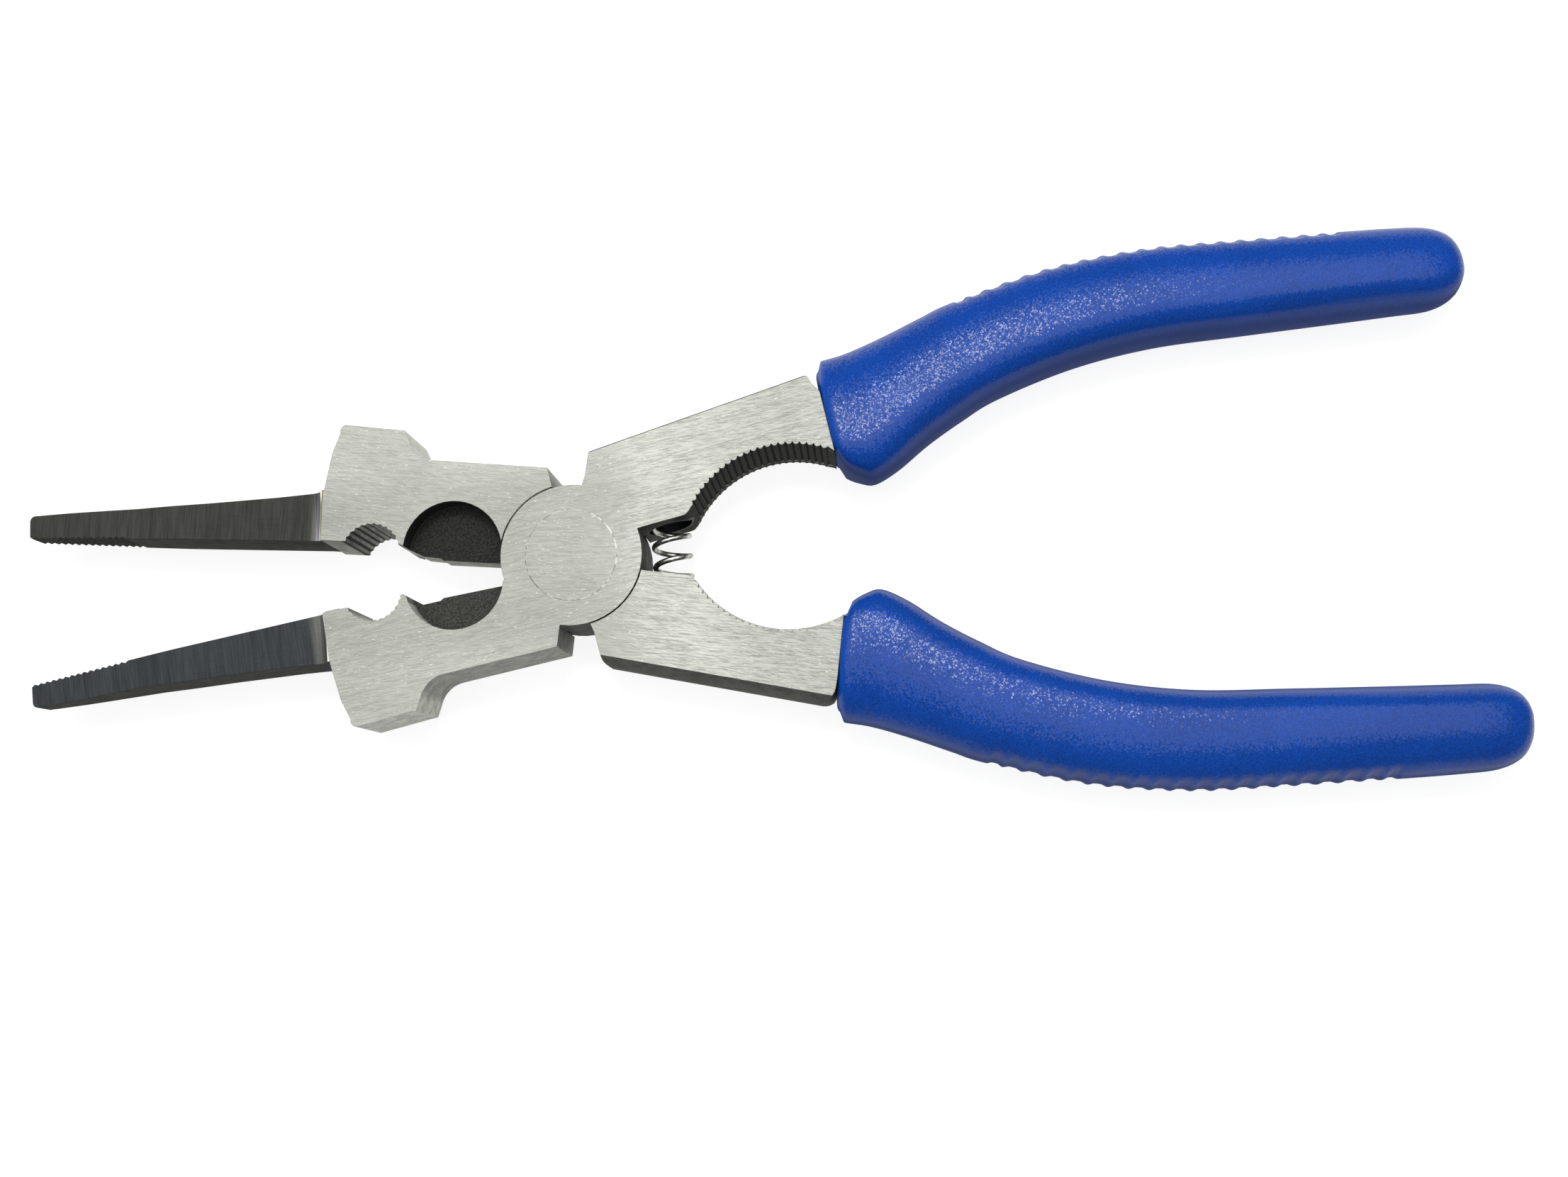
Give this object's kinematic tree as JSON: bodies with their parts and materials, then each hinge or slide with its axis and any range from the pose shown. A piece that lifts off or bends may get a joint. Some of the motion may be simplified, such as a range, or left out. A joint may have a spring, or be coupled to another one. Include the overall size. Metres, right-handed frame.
{
  "type": "welding nozzle pliers",
  "caption": "Spring-opened pliers with long tapered noses, a knurled nozzle-gripping oval, a wire cutter and moulded plastic grips.",
  "frame": {"origin": "on the pivot axis, in the plane of the levers' ground rear faces", "axes": "+Z along the pivot axis, out of the front faces; +X along the middle line towards the handles, so the jaws point to -X; +Y towards the upper handle"},
  "size_m": [0.2071, 0.0775, 0.0149],
  "materials": {
    "lever_steel": "ground flat, fine brush lines; dark oxide on the edges and noses",
    "rivet_steel": "ground flush with the levers",
    "spring_steel": "dark drawn wire",
    "grip_plastic": "blue, finely pebbled, satin"
  },
  "bodies": {
    "front": {"front_lever": "lever_steel", "pivot_rivet": "rivet_steel", "return_spring": "spring_steel", "upper_grip": "grip_plastic"},
    "rear": {"rear_lever": "lever_steel", "lower_grip": "grip_plastic"}
  },
  "joints": [
    {"name": "pivot", "type": "hinge", "parent": "front", "child": "rear", "pos_m": [0, 0, 0], "axis": [0, 0, 1], "range_deg": [-24, 15.2], "stiffness_Nm_per_rad": 0.5, "deforming": ["return_spring"]}
  ]
}
